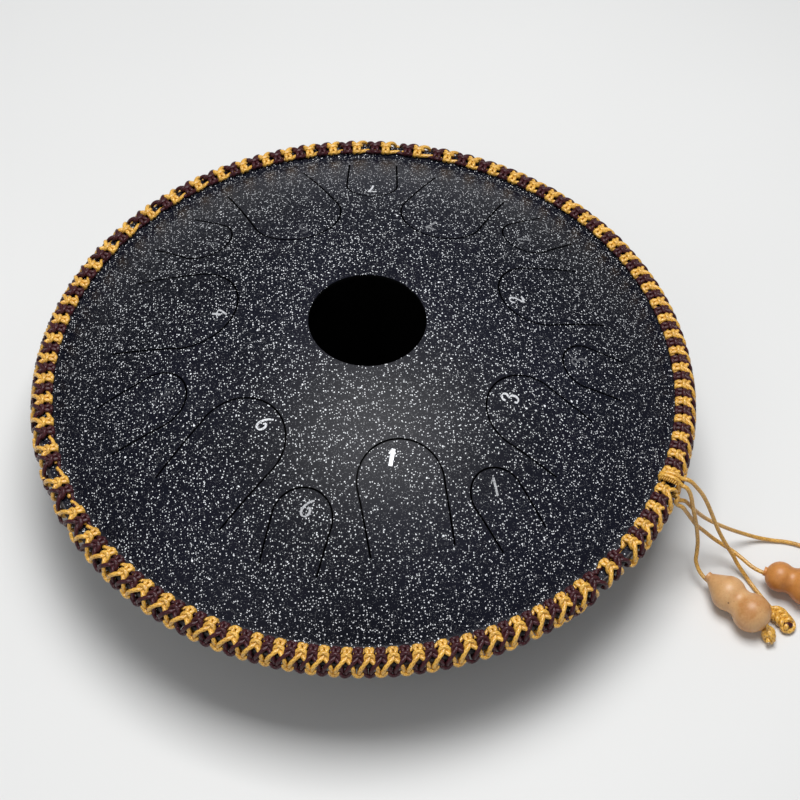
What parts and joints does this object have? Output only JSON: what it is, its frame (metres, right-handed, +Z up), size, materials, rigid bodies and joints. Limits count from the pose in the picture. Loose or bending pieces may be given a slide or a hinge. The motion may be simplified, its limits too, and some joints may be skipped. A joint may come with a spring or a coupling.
{
  "type": "steel tongue drum",
  "caption": "Shallow steel drum with a round sound hole, sprung tongues cut in its dome, a braided cord rim, gourd pendants on cords and rubber feet.",
  "frame": {"origin": "on the floor plane under the middle of the drum, in the plane of the feet", "axes": "+Z up along the drum's axis; -Y towards the player, where the low tongue marked 1 stands 4.3 degrees to the right of it; +X to the player's right, where the pendants hang"},
  "size_m": [0.442, 0.3648, 0.1164],
  "materials": {
    "speckled_paint": "satin charcoal paint with dense silver-white speckle",
    "weld_steel": "dark weld bead under the braid",
    "gold_cord": "braided gold nylon cord",
    "brown_cord": "braided dark maroon-brown nylon cord",
    "gourd_skin": "dried gourd, satin varnish",
    "black_rubber": "matt moulded rubber",
    "zinc_steel": "zinc-plated steel"
  },
  "bodies": {
    "drum": {"top_shell": "speckled_paint", "bottom_shell": "speckled_paint", "rim_weld": "weld_steel", "braid_gold": "gold_cord", "braid_brown": "brown_cord", "tie_upper": "gold_cord", "tie_lower": "gold_cord", "cord_a": "gold_cord", "cord_b": "gold_cord", "cord_c": "gold_cord", "cord_d": "gold_cord", "knot_a": "gold_cord", "knot_b": "gold_cord", "knot_c": "gold_cord", "knot_d": "gold_cord", "foot_front": "black_rubber", "foot_right": "black_rubber", "foot_left": "black_rubber", "foot_screws": "zinc_steel", "foot_pads": "black_rubber", "foot_washers": "zinc_steel", "foot_nuts": "zinc_steel"},
    "tongue_low_1": {"tongue_low_1": "speckled_paint"},
    "tongue_low_2": {"tongue_low_2": "speckled_paint"},
    "tongue_low_3": {"tongue_low_3": "speckled_paint"},
    "tongue_low_4": {"tongue_low_4": "speckled_paint"},
    "tongue_low_5": {"tongue_low_5": "speckled_paint"},
    "tongue_low_6": {"tongue_low_6": "speckled_paint"},
    "tongue_low_7": {"tongue_low_7": "speckled_paint"},
    "tongue_high_1": {"tongue_high_1": "speckled_paint"},
    "tongue_high_2": {"tongue_high_2": "speckled_paint"},
    "tongue_high_3": {"tongue_high_3": "speckled_paint"},
    "tongue_high_4": {"tongue_high_4": "speckled_paint"},
    "tongue_high_5": {"tongue_high_5": "speckled_paint"},
    "tongue_high_6": {"tongue_high_6": "speckled_paint"},
    "tongue_high_7": {"tongue_high_7": "speckled_paint"},
    "gourd_1": {"gourd_1": "gourd_skin"},
    "gourd_2": {"gourd_2": "gourd_skin"}
  },
  "joints": [
    {"name": "tongue_low_1_flex", "type": "hinge", "parent": "drum", "child": "tongue_low_1", "pos_m": [0.00964, -0.12817, 0.08872], "axis": [0.9972, 0.075, 0], "range_deg": [-0.4, 0.4], "stiffness_Nm_per_rad": 287},
    {"name": "tongue_low_2_flex", "type": "hinge", "parent": "drum", "child": "tongue_low_2", "pos_m": [0.12759, 0.02642, 0.0879], "axis": [-0.2028, 0.9792, 0], "range_deg": [-0.4, 0.4], "stiffness_Nm_per_rad": 280},
    {"name": "tongue_low_3_flex", "type": "hinge", "parent": "drum", "child": "tongue_low_3", "pos_m": [0.10059, -0.07608, 0.08982], "axis": [0.6032, 0.7976, 0], "range_deg": [-0.4, 0.4], "stiffness_Nm_per_rad": 303},
    {"name": "tongue_low_4_flex", "type": "hinge", "parent": "drum", "child": "tongue_low_4", "pos_m": [-0.12881, 0.03865, 0.08589], "axis": [-0.2874, -0.9578, 0], "range_deg": [-0.4, 0.4], "stiffness_Nm_per_rad": 298},
    {"name": "tongue_low_5_flex", "type": "hinge", "parent": "drum", "child": "tongue_low_5", "pos_m": [-0.04654, 0.1383, 0.08], "axis": [-0.9478, -0.319, 0], "range_deg": [-0.4, 0.4], "stiffness_Nm_per_rad": 238},
    {"name": "tongue_low_6_flex", "type": "hinge", "parent": "drum", "child": "tongue_low_6", "pos_m": [-0.10009, -0.0867, 0.08689], "axis": [0.6547, -0.7559, 0], "range_deg": [-0.4, 0.4], "stiffness_Nm_per_rad": 281},
    {"name": "tongue_low_7_flex", "type": "hinge", "parent": "drum", "child": "tongue_low_7", "pos_m": [0.07278, 0.12065, 0.08266], "axis": [-0.8563, 0.5165, 0], "range_deg": [-0.4, 0.4], "stiffness_Nm_per_rad": 251},
    {"name": "tongue_high_1_flex", "type": "hinge", "parent": "drum", "child": "tongue_high_1", "pos_m": [0.06706, -0.12402, 0.08262], "axis": [0.8796, 0.4756, 0], "range_deg": [-0.4, 0.4], "stiffness_Nm_per_rad": 256},
    {"name": "tongue_high_2_flex", "type": "hinge", "parent": "drum", "child": "tongue_high_2", "pos_m": [0.11894, 0.08516, 0.0798], "axis": [-0.5821, 0.8131, 0], "range_deg": [-0.4, 0.4], "stiffness_Nm_per_rad": 244},
    {"name": "tongue_high_3_flex", "type": "hinge", "parent": "drum", "child": "tongue_high_3", "pos_m": [0.13558, -0.03055, 0.08365], "axis": [0.2198, 0.9755, 0], "range_deg": [-0.4, 0.4], "stiffness_Nm_per_rad": 278},
    {"name": "tongue_high_4_flex", "type": "hinge", "parent": "drum", "child": "tongue_high_4", "pos_m": [-0.14138, -0.0329, 0.08041], "axis": [0.2267, -0.974, 0], "range_deg": [-0.4, 0.4], "stiffness_Nm_per_rad": 250},
    {"name": "tongue_high_5_flex", "type": "hinge", "parent": "drum", "child": "tongue_high_5", "pos_m": [-0.10078, 0.10113, 0.08168], "axis": [-0.7083, -0.7059, 0], "range_deg": [-0.4, 0.4], "stiffness_Nm_per_rad": 275},
    {"name": "tongue_high_6_flex", "type": "hinge", "parent": "drum", "child": "tongue_high_6", "pos_m": [-0.05269, -0.12912, 0.0834], "axis": [0.9259, -0.3778, 0], "range_deg": [-0.4, 0.4], "stiffness_Nm_per_rad": 275},
    {"name": "tongue_high_7_flex", "type": "hinge", "parent": "drum", "child": "tongue_high_7", "pos_m": [0.01858, 0.15134, 0.07634], "axis": [-0.9925, 0.1219, 0], "range_deg": [-0.4, 0.4], "stiffness_Nm_per_rad": 214},
    {"name": "gourd_1_slide", "type": "slide", "parent": "drum", "child": "gourd_1", "axis": [-0.5948, 0.8039, 0], "range_m": [0, 0.006]},
    {"name": "gourd_2_slide", "type": "slide", "parent": "drum", "child": "gourd_2", "axis": [-0.866, 0.5, 0], "range_m": [0, 0.006]}
  ]
}
